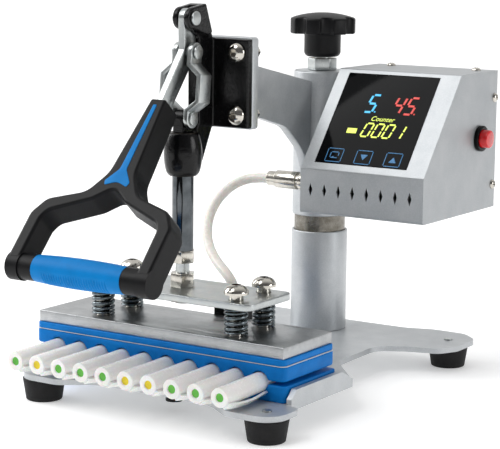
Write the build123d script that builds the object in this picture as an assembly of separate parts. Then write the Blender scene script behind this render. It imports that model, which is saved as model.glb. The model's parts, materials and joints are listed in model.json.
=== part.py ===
from build123d import *
import os
from math import atan2, cos, degrees, hypot, pi, radians, sin, sqrt, tan

os.makedirs("parts", exist_ok=True)

# Swing-away pen heat press. Millimetres. The model is laid out about the column's axis, with the
# floor at z = 0, and moved at the end so that the origin is the middle of the footprint.

# ---- driving dimensions ----
foot_height = 13.0
foot_top_r = 12.4
foot_bottom_r = 10.4
foot_right_x = 87.0
foot_left_x = -66.0
foot_front_y = -195.5
foot_rear_y = 14.0
plate_t = 3.2
rail_gap = 1.8                # between the lower mould's end and the bent-up rail beside it
rail_height = 7.8

column_r = 17.8
column_top = 80.3
post_r = 16.2
post_bore_r = 9.5
sleeve_r = 17.6
swivel_gap = 9.9              # bare neck of the post between the column and the sleeve
sleeve_top = 181.3
stud_r = 5.0
running_gap = 0.05            # radial play of each turning or sliding fit
face_gap = 0.3                # play between faces of pieces that move past each other

plunger_y = -151.0
mould_length = 173.0
mould_depth = 54.0
lower_mould_t = 9.2
mould_gap = 2.2
upper_mould_t = 8.5
sheet_t = 0.3
pad_t = 3.5
channel_r = 5.6
channel_count = 10
channel_pitch = 15.6
heater_length = 170.0
heater_depth = 50.8
heater_t = 6.7

bracket_length = 122.0
bracket_depth = 46.0
bracket_t = 4.0
spring_gap = 16.0             # between the heater plate and the pressure bracket
spring_r = 5.9
spring_wire_r = 0.95
spring_turns = 5
bolt_x = 46.5
bolt_y = 14.0
bolt_r = 4.0
bolt_head_r = 7.0
bolt_head_t = 5.0
bolt_lift = 3.4               # the bolt heads stand this far above the bracket at rest

rod_r = 6.15
rod_bottom = 87.8
rod_top = 148.5
eye_shank = 12.0
eye_shank_r = 3.0
tongue_t = 6.6
stud_nut_af = 13.0
boss_bottom = 130.8
boss_top = 155.5
boss_r = 10.9
bush_r = 8.0

pivot_z = 219.4               # handle pivot in the ears of the toggle casting
pivot_y = -148.0
knee_y = -147.2               # pivot between the handle and the links
knee_z = 200.5
wrist_z = 163.2               # pivot between the links and the plunger
pin_r = 2.5
ear_r = 6.3
ear_width = 11.2
bar_t = 4.2
link_t = 3.0
link_width = 10.8
link_jog = 7.4
web_t = 8.0
flange_y = -127.5
flange_t = 4.8
flange_left = -8.0
flange_right = 28.0
flange_bottom = 157.0
flange_top = 207.5
arm_flange_t = 6.4
arm_t = 6.0
flange_bolt_x = 20.4
flange_bolt_z = (164.3, 199.8)

handle_angle = 48.4           # the handle's slope below the horizontal
handle_t = 16.0
handle_edge_r = 1.8
grip_offset = 109.6           # from the top of the handle to the grip's axis
grip_half = 29.8
arm_inside = 39.3
arm_width = 8.1
grip_rod_r = 4.0
opening_angle = 90.0

knob_r = 20.5
knob_bottom = 204.5
knob_top = 217.6
hub_r = 11.5
nut_af = 16.0
nut_t = 7.6

box_left = 20.5
box_right = 104.3
box_front = -57.3
box_rear = 36.7
box_bottom = 99.7
box_fold_z = 126.9
box_top_y = -12.0
box_top = 184.4
sheet_metal_t = 1.2
vent_count = 8
vent_pitch = 9.67
vent_width = 2.7
vent_height = 8.2
glass_width = 62.7
glass_height = 65.2
glass_x = 59.85
glass_s = 37.6                # up the sloping face, from its lower fold
glass_t = 2.0
glass_proud = 0.35
button_y = 14.1
button_z = 144.2
bezel_r = 7.9
bezel_depth = 20.0
cap_r = 5.5
cap_proud = 7.5
button_travel = 2.5
inlet_x = 46.0
inlet_z = 124.0
rocker_x = 82.0
rocker_r = 7.4
rocker_tilt = 9.0
gland_y = -49.0
gland_z = 117.4
gland_r = 5.5
gland_length = 27.5

hose_d = 6.0
hose_points = [
    (-7.0, -49.0, 117.4), (-17.5, -49.0, 117.4), (-28.5, -55.5, 113.2), (-33.5, -66.0, 104.8),
    (-33.0, -77.0, 94.8), (-27.0, -88.0, 85.2), (-17.0, -98.5, 78.0), (-4.5, -107.5, 72.2),
    (6.5, -114.0, 68.0), (13.5, -117.0, 61.5), (13.5, -117.0, 51.0),
]

# ---- derived heights and places ----
plate_top = foot_height + plate_t
lower_top = plate_top + lower_mould_t
upper_bottom = lower_top + mould_gap
channel_z = lower_top + mould_gap / 2
sheet_bottom = upper_bottom + upper_mould_t
pad_bottom = sheet_bottom + sheet_t
heater_bottom = pad_bottom + pad_t
heater_top = heater_bottom + heater_t
bracket_bottom = heater_top + spring_gap
bracket_top = bracket_bottom + bracket_t
bolt_head_z = bracket_top + bolt_lift
plate_middle_x = (foot_left_x + foot_right_x) / 2
side_rail_x = mould_length / 2 + rail_gap
rail_outer = side_rail_x + plate_t
sleeve_bottom = column_top + swivel_gap
pivot = (pivot_y, pivot_z)
knee = (knee_y, knee_z)
wrist = (plunger_y, wrist_z)
box_middle_x = (box_left + box_right) / 2
terminal_end = hose_points[-1]

# The toggle: the handle turns about the pivot, and the links carry the knee's lift to the plunger.
link_length = hypot(wrist[0] - knee[0], wrist[1] - knee[1])
link_lean = degrees(atan2(wrist[0] - knee[0], knee[1] - wrist[1]))
knee_dy, knee_dz = knee[0] - pivot[0], knee[1] - pivot[1]
turn = radians(opening_angle)
open_knee = (pivot[0] + knee_dy * cos(turn) + knee_dz * sin(turn),
             pivot[1] - knee_dy * sin(turn) + knee_dz * cos(turn))
open_reach = plunger_y - open_knee[0]
open_wrist_z = open_knee[1] - sqrt(link_length**2 - open_reach**2)
plunger_lift = open_wrist_z - wrist_z
open_lean = degrees(atan2(open_reach, open_knee[1] - open_wrist_z))
link_turn = (open_lean - link_lean) + opening_angle
print("plunger lift", round(plunger_lift, 3), "link turn", round(link_turn, 3))

slope = Vector(0, -cos(radians(handle_angle)), -sin(radians(handle_angle)))
outward = Vector(0, -sin(radians(handle_angle)), cos(radians(handle_angle)))
handle_top = Vector(0, -169.8, 169.6)
handle_plane = Plane(origin=handle_top, x_dir=(1, 0, 0), z_dir=outward)
grip_centre = handle_top + slope * grip_offset

fold_angle = atan2(box_top - box_fold_z, box_top_y - box_front)
face_plane = Plane(
    origin=(box_left, box_front, box_fold_z), x_dir=(1, 0, 0),
    z_dir=(0, -sin(fold_angle), cos(fold_angle)),
)


# ---- helpers ----
def block(x0, x1, y0, y1, z0, z1):
    return Pos((x0 + x1) / 2, (y0 + y1) / 2, (z0 + z1) / 2) * Box(x1 - x0, y1 - y0, z1 - z0)


def post(x, y, z0, z1, r, top_r=None):
    height = z1 - z0
    shape = Cylinder(r, height) if top_r is None else Cone(r, top_r, height)
    return Pos(x, y, (z0 + z1) / 2) * shape


def axle(x0, x1, y, z, r):
    return Pos((x0 + x1) / 2, y, z) * Rot(0, 90, 0) * Cylinder(r, x1 - x0)


def hexagon(x, y, z0, z1, across, turned=0):
    return Pos(x, y, z0) * Rot(0, 0, turned) * extrude(RegularPolygon(across / sqrt(3), 6), z1 - z0)


def slab_yz(points, x0, x1):
    face = make_face(Plane.YZ * Polyline(*points, close=True))
    return Pos(x0, 0, 0) * extrude(face, x1 - x0, dir=(1, 0, 0))


def bar_yz(a, b, ra, rb, x0, x1):
    outline = make_hull((Pos(*a) * Circle(ra)).edges() + (Pos(*b) * Circle(rb)).edges())
    return Pos(x0, 0, 0) * extrude(Plane.YZ * outline, x1 - x0, dir=(1, 0, 0))


def rounded_face(points, radii):
    return make_face(FilletPolyline(*points, radius=radii, close=True).edges())


def dome(x, y, z, r, height):
    """A button head that stands on z."""
    profile = make_face([
        Line((0, 0), (r, 0)), Line((r, 0), (r, height * 0.25)),
        ThreePointArc((r, height * 0.25), (r * 0.72, height * 0.82), (0, height)),
        Line((0, height), (0, 0)),
    ])
    return Pos(x, y, z) * revolve(Plane.XZ * profile, Axis.Z)


def one(shape):
    solids = shape.solids()
    return solids[0] if len(solids) == 1 else Compound(solids)


def group(*shapes):
    return Compound([solid for shape in shapes for solid in shape.solids()])


# ---- base ----
def base_outline():
    right = [
        (plate_middle_x + 5, -193.0, 0), (50.0, -194.5, 18), (68.0, -207.5, 12), (99.0, -207.5, 13),
        (99.0, -181.0, 5), (rail_outer, -179.5, 2), (rail_outer, -112.0, 4), (60.0, -76.0, 24),
        (58.5, -28.0, 14), (74.0, -19.0, 12), (94.0, -12.5, 8), (100.5, 0.0, 10), (100.5, 24.0, 10),
        (88.0, 35.0, 12), (66.0, 35.0, 16), (48.0, 29.0, 20), (plate_middle_x + 5, 28.5, 0),
    ]
    left = [(2 * plate_middle_x - x, y, r) for x, y, r in reversed(right)]
    points = right + left
    smallest = 0.05
    return rounded_face([(x, y) for x, y, r in points], [max(r, smallest) for x, y, r in points])


feet = [(foot_right_x, foot_front_y), (foot_left_x, foot_front_y),
        (foot_right_x, foot_rear_y), (foot_left_x, foot_rear_y)]
foot_screw_r = 2.5
column_bolt_r = 5.0
mould_bolt_x = 11.0
mould_bolt_y = -174.0
mould_bolt_r = 3.0


def base_plate():
    plate = Pos(0, 0, foot_height) * extrude(base_outline(), plate_t)
    rail_y0, rail_y1 = -178.0, -112.5
    profile = [(rail_y0, foot_height + 0.5), (rail_y0, plate_top + rail_height - 5),
               (rail_y0 + 5, plate_top + rail_height), (rail_y1 - 12, plate_top + rail_height),
               (rail_y1, plate_top + 1.5), (rail_y1, foot_height + 0.5)]
    plate += slab_yz(profile, side_rail_x, rail_outer)
    for x, y in feet:
        plate -= post(x, y, foot_height - 1, plate_top + 1, foot_screw_r + 0.2)
    plate -= post(0, 0, foot_height - 1, plate_top + 1, column_bolt_r + 0.3)
    plate -= post(mould_bolt_x, mould_bolt_y, foot_height - 1, plate_top + 1, mould_bolt_r + 0.2)
    return one(plate)


def rubber_feet():
    recess = 6.0
    shapes = []
    for x, y in feet:
        foot = post(x, y, 0, foot_height, foot_bottom_r, foot_top_r)
        foot -= post(x, y, -1, recess, foot_screw_r + 2.6)
        foot -= post(x, y, recess - 1, foot_height + 1, foot_screw_r)
        shapes.append(foot)
    return group(*shapes)


def foot_screws():
    head_t = 2.2
    shapes = []
    for x, y in feet:
        screw = post(x, y, 6.0, plate_top + 0.8, foot_screw_r)
        screw += post(x, y, 6.0 - head_t, 6.0, foot_screw_r + 2.0)
        shapes.append(screw)
    return group(*shapes)


def column_tube():
    tube = post(0, 0, plate_top, column_top, column_r)
    return one(tube - post(0, 0, plate_top - 1, column_top + 1, post_r))


post_top = sleeve_top - 6.0
washer_t = 1.5


def swivel_post():
    shape = post(0, 0, plate_top, post_top, post_r)
    shape -= post(0, 0, plate_top + 24, post_top - 24, post_bore_r)
    shape -= post(0, 0, plate_top - 1, plate_top + 18, column_bolt_r)
    shape -= post(0, 0, post_top - 18, post_top + 1, stud_r)
    return one(shape)


def column_bolt():
    shank = post(0, 0, foot_height, plate_top + 17, column_bolt_r)
    return one(shank + hexagon(0, 0, foot_height - 6.4, foot_height, 17.0))


def thrust_washer():
    disc = post(0, 0, post_top, post_top + washer_t, post_r - 0.5)
    return one(disc - post(0, 0, post_top - 1, post_top + washer_t + 1, stud_r))


nut_bottom = sleeve_top + face_gap


def clamp_stud():
    return one(post(0, 0, post_top - 17, knob_bottom - 2.0, stud_r))


def clamp_nut():
    nut = hexagon(0, 0, nut_bottom, nut_bottom + nut_t, nut_af, 33)
    return one(nut - post(0, 0, nut_bottom - 1, nut_bottom + nut_t + 1, stud_r))


def channels(y0, y1):
    first = -channel_pitch * (channel_count - 1) / 2
    tool = Rot(90, 0, 0) * Cylinder(channel_r, y1 - y0)
    return [Pos(first + i * channel_pitch, (y0 + y1) / 2, channel_z) * tool
            for i in range(channel_count)]


mould_y0 = plunger_y - mould_depth / 2
mould_y1 = plunger_y + mould_depth / 2


def mould_block(z0, z1, length, corner_r):
    blank = Rectangle(length, mould_depth)
    blank = fillet(blank.vertices(), corner_r)
    return Pos(0, plunger_y, z0) * extrude(blank, z1 - z0)


def lower_mould():
    shape = mould_block(plate_top, lower_top, mould_length + 1.6, 2.5)
    for tool in channels(mould_y0 - 1, mould_y1 + 1):
        shape -= tool
    shape -= post(mould_bolt_x, mould_bolt_y, plate_top - 1, plate_top + 4.0, mould_bolt_r)
    return one(shape)


def mould_fixing_bolt():
    x, y = mould_bolt_x, mould_bolt_y
    bolt = post(x, y, foot_height - 0.5, plate_top + 4.0, mould_bolt_r)
    bolt += post(x, y, foot_height - 1.0, foot_height, 6.0)
    bolt += post(x, y, foot_height - 7.0, foot_height - 1.0, 5.0)
    return one(bolt - hexagon(x, y, foot_height - 8.0, foot_height - 4.0, 5.0))


# ---- platen ----
def upper_mould():
    shape = mould_block(upper_bottom, sheet_bottom, mould_length, 4.0)
    for tool in channels(mould_y0 - 1, mould_y1 + 1):
        shape -= tool
    return one(shape)


def release_sheet():
    return one(mould_block(sheet_bottom, pad_bottom, mould_length + 0.4, 4.0))


def silicone_pad():
    return one(mould_block(pad_bottom, heater_bottom, mould_length - 0.6, 4.0))


bolt_places = [(sx * bolt_x, plunger_y + sy * bolt_y) for sx in (-1, 1) for sy in (-1, 1)]
element_y = (-6.4, 6.4)
element_r = 2.2
thread_depth = 5.0


def heater_plate():
    half = heater_length / 2
    plate = block(-half, half, plunger_y - heater_depth / 2, plunger_y + heater_depth / 2,
                  heater_bottom, heater_top)
    for x, y in bolt_places:
        plate -= post(x, y, heater_top - thread_depth, heater_top + 1, bolt_r)
    middle = (heater_bottom + heater_top) / 2
    for dy in element_y:
        plate -= axle(-half + 8, half - 8, plunger_y + dy, middle, element_r)
    return one(plate)


def heating_elements():
    half = heater_length / 2
    middle = (heater_bottom + heater_top) / 2
    return group(*[axle(-half + 8, half - 8, plunger_y + dy, middle, element_r) for dy in element_y])


def heater_terminal_cover():
    x, y, z = terminal_end
    rear = plunger_y + heater_depth / 2
    cover = block(x - 9, x + 9, rear, y + 7.5, heater_bottom + 0.6, z + 3.0)
    cover = fillet(cover.edges().filter_by(Axis.Z).sort_by(Axis.Y)[-2:], 3.0)
    return one(cover - post(x, y, z, z + 4, hose_d / 2))


def float_bolts():
    socket_af = 5.0
    shapes = []
    for x, y in bolt_places:
        bolt = post(x, y, heater_top - thread_depth, bolt_head_z, bolt_r)
        bolt += dome(x, y, bolt_head_z, bolt_head_r, bolt_head_t)
        bolt -= hexagon(x, y, bolt_head_z + bolt_head_t - 2.6, bolt_head_z + bolt_head_t + 1, socket_af)
        shapes.append(bolt)
    return group(*shapes)


def pressure_springs():
    pitch = (spring_gap - 2 * spring_wire_r - 0.2) / spring_turns
    low = heater_top + spring_wire_r + 0.1
    coil_path = Helix(pitch, pitch * spring_turns, spring_r)
    start = Plane(origin=coil_path @ 0, z_dir=coil_path % 0)
    coil = sweep(start * Circle(spring_wire_r), path=coil_path)
    return group(*[Pos(x, y, low) * coil for x, y in bolt_places])


# ---- plunger ----
def pressure_bracket():
    outline = fillet(Rectangle(bracket_length, bracket_depth).vertices(), 6.0)
    plate = Pos(0, plunger_y, bracket_bottom) * extrude(outline, bracket_t)
    plate -= post(0, plunger_y, bracket_bottom - 1, bracket_top + 1, bolt_r)
    for x, y in bolt_places:
        plate -= post(x, y, bracket_bottom - 1, bracket_top + 1, bolt_r + face_gap)
    return one(plate)


lower_nut_t = 8.2
upper_nut_t = 7.0
under_nut_t = 4.5
thread_in_rod = 12.0


def plunger_nuts():
    bands = [(bracket_bottom - under_nut_t, bracket_bottom), (bracket_top, bracket_top + lower_nut_t),
             (rod_bottom - upper_nut_t, rod_bottom)]
    nuts = []
    for z0, z1 in bands:
        nut = hexagon(0, plunger_y, z0, z1, stud_nut_af)
        nuts.append(nut - post(0, plunger_y, z0 - 1, z1 + 1, bolt_r))
    return group(*nuts)


def plunger_stud():
    return one(post(0, plunger_y, bracket_bottom - under_nut_t - 1.0, rod_bottom + thread_in_rod, bolt_r))


def plunger_rod():
    rod = post(0, plunger_y, rod_bottom, rod_top, rod_r)
    rod -= post(0, plunger_y, rod_bottom - 1, rod_bottom + thread_in_rod, bolt_r)
    return one(rod - post(0, plunger_y, rod_top - eye_shank, rod_top + 1, eye_shank_r))


def plunger_eye():
    half = tongue_t / 2
    eye = block(-half, half, plunger_y - 5.4, plunger_y + 5.4, rod_top, wrist_z)
    eye = eye & post(0, plunger_y, rod_top, wrist_z, rod_r)
    eye += axle(-half, half, plunger_y, wrist_z, 5.4)
    eye += post(0, plunger_y, rod_top - eye_shank, rod_top, eye_shank_r)
    return one(eye - axle(-half - 1, half + 1, plunger_y, wrist_z, pin_r))


# ---- links ----
link_inside = tongue_t / 2 + face_gap


def toggle_links():
    inside, outside, jog = link_inside, link_inside + link_t, link_jog
    profile = [
        (inside, 7), (inside, -7.5), (inside + jog, -13.5), (inside + jog, -27.0), (inside, -32.3),
        (inside, -link_length - 7), (outside, -link_length - 7), (outside, -33.5),
        (outside + jog, -28.2), (outside + jog, -12.3), (outside, -6.3), (outside, 7),
    ]
    strap = extrude(make_face(Plane.XZ * Polyline(*profile, close=True)), link_width / 2, both=True)
    trim = bar_yz((0, 0), (0, -link_length), link_width / 2, link_width / 2, inside - 1, outside + jog + 1)
    strap = strap & trim
    strap -= axle(inside - 1, outside + 1, 0, 0, pin_r + running_gap)
    strap -= axle(inside - 1, outside + 1, 0, -link_length, pin_r)
    placed = Pos(0, *knee) * Rot(link_lean, 0, 0) * strap
    return group(placed, mirror(placed, Plane.YZ))


def link_rivets():
    outside = link_inside + link_t
    rivet = axle(link_inside, outside + 0.1, plunger_y, wrist_z, pin_r)
    rivet += axle(outside, outside + 1.3, plunger_y, wrist_z, 3.9)
    return group(rivet, mirror(rivet, Plane.YZ))


# ---- handle ----
bar_end = handle_top + slope * 26


def handle_bar():
    half = bar_t / 2
    bar = bar_yz(pivot, knee, 5.6, 5.6, -half, half)
    bar += bar_yz(knee, (bar_end.Y, bar_end.Z), 5.6, 4.6, -half, half)
    bar -= axle(-half - 1, half + 1, *pivot, pin_r + running_gap)
    bar -= axle(-half - 1, half + 1, *knee, pin_r)
    return one(bar)


def knee_pin():
    outside = link_inside + link_t + face_gap
    pin = axle(-outside - 0.1, outside + 0.1, *knee, pin_r)
    pin += axle(outside, outside + 1.4, *knee, 3.9) + axle(-outside - 1.4, -outside, *knee, 3.9)
    return one(pin)


def yoke_outline():
    inner, outer = arm_inside, arm_inside + arm_width
    foot = -grip_offset
    right = [(5.1, 1.8, 1.5), (8.9, -49.0, 16), (17.5, -62.3, 12), (41.0, -69.5, 9),
             (outer, -79.5, 8), (outer, foot, 0.5), (inner, foot, 0.5), (inner - 0.3, -82.5, 5),
             (36.5, -77.2, 7), (11.0, -67.0, 8), (0.0, -58.6, 6)]
    left = [(-x, y, r) for x, y, r in reversed(right[:-1])]
    points = right + left
    return rounded_face([(x, y) for x, y, r in points], [r for x, y, r in points])


def inlay_outline():
    right = [(1.2, -2.6, 0.6), (2.2, -46.5, 4), (8.4, -54.8, 1.0), (7.4, -57.6, 0.8), (0.0, -54.8, 8)]
    left = [(-x, y, r) for x, y, r in reversed(right[:-1])]
    points = right + left
    return rounded_face([(x, y) for x, y, r in points], [r for x, y, r in points])


inlay_t = 1.6


def handle_inlay():
    lift = handle_t / 2 - inlay_t
    return one(handle_plane * (Pos(0, 0, lift) * extrude(inlay_outline(), inlay_t + 0.3)))


def handle_yoke():
    body = Pos(0, 0, -handle_t / 2) * extrude(yoke_outline(), handle_t)
    rims = body.edges().group_by(Axis.Z)
    body = fillet(rims[0] + rims[-1], handle_edge_r)
    for side in (-1, 1):
        x0, x1 = sorted((side * arm_inside, side * (arm_inside + arm_width)))
        body += axle(x0, x1, -grip_offset, 0, handle_t / 2)
        x0, x1 = sorted((side * (grip_half + 0.2), side * (arm_inside + 1)))
        body += axle(x0, x1, -grip_offset, 0, 7.3)
    body -= axle(-arm_inside - arm_width + 2, arm_inside + arm_width - 2, -grip_offset, 0, grip_rod_r)
    return one(handle_plane * body - handle_bar() - handle_inlay())


def grip_rod():
    reach = arm_inside + arm_width - 2
    return one(axle(-reach, reach, grip_centre.Y, grip_centre.Z, grip_rod_r))


def handle_grip():
    end_r, middle_r = 7.4, 8.3
    profile = make_face([
        Line((-grip_half, grip_rod_r), (-grip_half, end_r)),
        ThreePointArc((-grip_half, end_r), (0, middle_r), (grip_half, end_r)),
        Line((grip_half, end_r), (grip_half, grip_rod_r)),
        Line((grip_half, grip_rod_r), (-grip_half, grip_rod_r)),
    ])
    return one(Pos(0, grip_centre.Y, grip_centre.Z) * revolve(profile, Axis.X))


# ---- head ----
def swing_sleeve():
    tube = post(0, 0, sleeve_bottom, sleeve_top, sleeve_r)
    return one(tube - post(0, 0, sleeve_bottom - 1, sleeve_top + 1, post_r + running_gap))


def sleeve_cap():
    z0 = post_top + washer_t + running_gap
    disc = post(0, 0, z0, sleeve_top, post_r + running_gap)
    return one(disc - post(0, 0, z0 - 1, sleeve_top + 1, stud_r + face_gap))


arm_flange_y = flange_y + flange_t
arm_y = arm_flange_y + arm_flange_t


def arm_flange():
    plate = block(flange_left, flange_right, arm_flange_y, arm_y, flange_bottom - 1.0, flange_top + 1.0)
    plate = fillet(plate.edges().filter_by(Axis.Y), 2.0)
    for z in flange_bolt_z:
        plate -= Pos(flange_bolt_x, arm_flange_y, z) * Rot(90, 0, 0) * Cylinder(3.3, 30)
    return one(plate)


def swing_arm():
    points = [(arm_y, 163.5), (-74.0, 157.0), (-46.0, 149.5), (-26.0, 133.0), (-12.0, 100.0),
              (-12.0, 174.5), (-31.8, 178.8), (arm_y, 196.5)]
    radii = [0.1, 40, 20, 26, 0.1, 0.1, 2, 0.1]
    face = Plane.YZ * rounded_face(points, radii)
    arm = Pos(-arm_t / 2, 0, 0) * extrude(face, arm_t, dir=(1, 0, 0))
    return one(arm - post(0, 0, 80, sleeve_top + 20, sleeve_r))


def toggle_casting():
    half = web_t / 2
    web = slab_yz([
        (flange_y + flange_t, flange_top), (flange_y, flange_top + 0.5), (-136.4, 227.4),
        (pivot_y, pivot_z + ear_r), (pivot_y, pivot_z - ear_r), (-141.0, 208.0), (-141.0, 160.0),
        (-146.0, 153.0), (-146.0, boss_bottom + 3), (-140.0, boss_bottom + 3), (-136.9, 138.3),
        (flange_y, flange_bottom), (flange_y + flange_t, flange_bottom),
    ], -half, half)
    ears = slab_yz([(-136.4, 227.4), (pivot_y, pivot_z + ear_r), (pivot_y, pivot_z - ear_r),
                    (-135.0, 209.0), (-130.0, 211.0)], -ear_width / 2, ear_width / 2)
    ears += axle(-ear_width / 2, ear_width / 2, *pivot, ear_r)
    flange = block(flange_left, flange_right, flange_y, arm_flange_y, flange_bottom, flange_top)
    boss_profile = make_face([
        Line((0, boss_bottom), (boss_r - 2.8, boss_bottom)),
        Line((boss_r - 2.8, boss_bottom), (boss_r - 1.4, boss_bottom + 2)),
        ThreePointArc((boss_r - 1.4, boss_bottom + 2), (boss_r, 145.5), (boss_r - 1.9, boss_top - 0.8)),
        Line((boss_r - 1.9, boss_top - 0.8), (boss_r - 2.8, boss_top)),
        Line((boss_r - 2.8, boss_top), (0, boss_top)), Line((0, boss_top), (0, boss_bottom)),
    ])
    boss = Pos(0, plunger_y, 0) * revolve(Plane.XZ * boss_profile, Axis.Z)
    shape = web + ears + flange + boss
    shape -= post(0, plunger_y, boss_bottom - 1, boss_top + 1, bush_r)
    slot = bar_t / 2 + face_gap
    shape -= block(-slot, slot, -170, pivot_y + ear_r + 0.8, 205, 240)
    shape -= axle(-ear_width, ear_width, *pivot, pin_r)
    shape -= block(-tongue_t, tongue_t, -170, plunger_y + 6.8, boss_top, 200)
    for z in flange_bolt_z:
        shape -= Pos(flange_bolt_x, flange_y, z) * Rot(90, 0, 0) * Cylinder(3.3, 30)
    return one(shape)


def guide_bush():
    bush = post(0, plunger_y, boss_bottom, boss_top, bush_r)
    return one(bush - post(0, plunger_y, boss_bottom - 1, boss_top + 1, rod_r + running_gap))


def handle_pivot_pin():
    half = ear_width / 2
    pin = axle(-half - 0.1, half + 0.1, *pivot, pin_r)
    pin += axle(half, half + 1.6, *pivot, 4.1) + axle(-half - 1.6, -half, *pivot, 4.1)
    return one(pin)


def flange_bolts():
    length = flange_t + arm_flange_t + 6.5
    shapes = []
    for z in flange_bolt_z:
        bolt = Pos(flange_bolt_x, flange_y + length / 2, z) * Rot(90, 0, 0) * Cylinder(3.0, length)
        bolt += Pos(flange_bolt_x, flange_y, z) * Rot(90, 0, 0) * dome(0, 0, 0, 5.5, 3.6)
        socket = extrude(RegularPolygon(2.4, 6), 3.4)
        bolt -= Pos(flange_bolt_x, flange_y - 0.9, z) * Rot(90, 0, 0) * socket
        shapes.append(bolt)
    return group(*shapes)


def flange_nuts():
    shapes = []
    for z in flange_bolt_z:
        nut = extrude(RegularPolygon(10.0 / sqrt(3), 6), -5.0) - Cylinder(3.0, 14)
        shapes.append(Pos(flange_bolt_x, arm_y, z) * Rot(90, 0, 0) * nut)
    return group(*shapes)


# ---- control box ----
box_profile = [(box_front, box_bottom), (box_front, box_fold_z), (box_top_y, box_top),
               (box_rear, box_top), (box_rear, box_bottom)]
wall = sheet_metal_t
side_screws = [(box_rear - 3.4, 113.9), (box_rear - 3.4, 167.8)]
top_screw_x = (35.3, 94.8)
top_screw_y = 26.0
cover_inside = wall + 0.1


def control_housing():
    outer = slab_yz(box_profile, box_left, box_right)
    soft = outer.edges().filter_by(Axis.X).sort_by(Axis.Y)[:3]
    outer = fillet(soft, 1.6)
    inner_face = offset(make_face(Plane.YZ * Polyline(*box_profile, close=True)), -wall)
    inner = Pos(box_left + wall, 0, 0) * extrude(inner_face, box_right - box_left - 2 * wall, dir=(1, 0, 0))
    x0, x1 = box_left + wall, box_right - wall
    inner += block(x0, x1, box_front + wall, box_rear + 1, box_bottom - 1, box_bottom + 3)
    inner += block(x0, x1, box_rear - 3, box_rear + 1, box_bottom - 1, box_top - wall)
    shape = outer - inner
    window = Box(glass_width + 0.2, glass_height + 0.2, 8)
    shape -= face_plane * (Pos(glass_x - box_left, glass_s, 0) * window)
    vent = Polyline((-vent_width / 2, 0), (0, vent_height / 2), (vent_width / 2, 0), (0, -vent_height / 2),
                    close=True)
    tool = extrude(Plane.XZ * make_face(vent), 4, both=True)
    first = box_middle_x - 0.9 - vent_pitch * (vent_count - 1) / 2
    for i in range(vent_count):
        shape -= Pos(first + i * vent_pitch, box_front, 114.2) * tool
    shape -= axle(box_right - 4, box_right + 2, button_y, button_z, bezel_r - 0.5)
    shape -= axle(box_left - 2, box_left + 4, gland_y, gland_z, gland_r - 1.5)
    for y, z in side_screws:
        shape -= axle(box_left - 2, box_right + 2, y, z, 1.6)
    for x in top_screw_x:
        shape -= post(x, top_screw_y, box_top - 4, box_top + 2, 1.6)
    for z in bracket_screw_z:
        shape -= axle(box_left - 2, box_left + 4, 0, z, 2.1)
    return one(shape)


def control_rear_cover():
    x0, x1 = box_left + cover_inside, box_right - cover_inside
    shape = block(x0, x1, box_rear - wall, box_rear, box_bottom, box_top - cover_inside)
    shape += block(x0, x1, box_front + cover_inside, box_rear, box_bottom, box_bottom + wall)
    for x in (x0, x1 - wall):
        shape += block(x, x + wall, box_rear - 8, box_rear, box_bottom, box_top - cover_inside - 2)
    shape += block(x0, x1, box_rear - 16, box_rear, box_top - cover_inside - wall, box_top - cover_inside)
    for y, z in side_screws:
        shape -= axle(box_left - 2, box_right + 2, y, z, 1.4)
    for x in top_screw_x:
        shape -= post(x, top_screw_y, box_top - 6, box_top + 2, 1.4)
    shape -= block(inlet_x - 12, inlet_x + 12, box_rear - 3, box_rear + 3, inlet_z - 9, inlet_z + 9)
    shape -= block(rocker_x - 7, rocker_x + 7, box_rear - 3, box_rear + 3, inlet_z - 10, inlet_z + 10)
    return one(shape)


def cover_screws():
    head_r, head_t, shank_r, length = 2.9, 1.7, 1.4, 5.0
    head = dome(0, 0, 0, head_r, head_t)
    shank = Pos(0, 0, -length / 2) * Cylinder(shank_r, length)
    slot = Pos(0, 0, head_t) * (Box(3.2, 0.7, 1.6) + Box(0.7, 3.2, 1.6))
    screw = head + shank - slot
    shapes = [Pos(x, top_screw_y, box_top) * screw for x in top_screw_x]
    for y, z in side_screws:
        shapes.append(Pos(box_right, y, z) * Rot(0, 90, 0) * screw)
        shapes.append(Pos(box_left, y, z) * Rot(0, -90, 0) * screw)
    return group(*shapes)


bracket_screw_z = (124.0, 162.0)


def control_bracket():
    shape = block(8.0, box_left, -10, 10, 112, 174)
    shape -= post(0, 0, 100, 190, sleeve_r)
    for z in bracket_screw_z:
        shape -= axle(sleeve_r - 1, box_left + 1, 0, z, 2.0)
    return one(shape)


def bracket_screws():
    shapes = []
    for z in bracket_screw_z:
        shank = axle(sleeve_r + 0.4, box_left + wall, 0, z, 2.0)
        shapes.append(shank + axle(box_left + wall, box_left + wall + 2.4, 0, z, 3.6))
    return group(*shapes)


def display_glass():
    pane = extrude(fillet(Rectangle(glass_width, glass_height).vertices(), 1.5), glass_t)
    return one(face_plane * (Pos(glass_x - box_left, glass_s, glass_proud - glass_t) * pane))


def display_board():
    board_z, board_t = -8.0, 1.6
    peg_top = glass_proud - glass_t
    peg_length = peg_top - board_z
    board = Pos(0, 0, board_z - board_t / 2) * Box(58, 60, board_t)
    for dx in (-26, 26):
        for dy in (-27, 27):
            board += Pos(dx, dy, peg_top - peg_length / 2) * Cylinder(2.2, peg_length)
    return one(face_plane * Pos(glass_x - box_left, glass_s, 0) * board)


def button_bezel():
    inside = box_right - bezel_depth
    shape = axle(inside, box_right, button_y, button_z, bezel_r - 0.7)
    shape += axle(box_right, box_right + 2.6, button_y, button_z, bezel_r)
    return one(shape - axle(inside + 6, box_right + 4, button_y, button_z, cap_r + running_gap))


def start_button():
    inner = box_right - bezel_depth + 7 + button_travel
    return one(axle(inner, box_right + cap_proud, button_y, button_z, cap_r))


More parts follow.
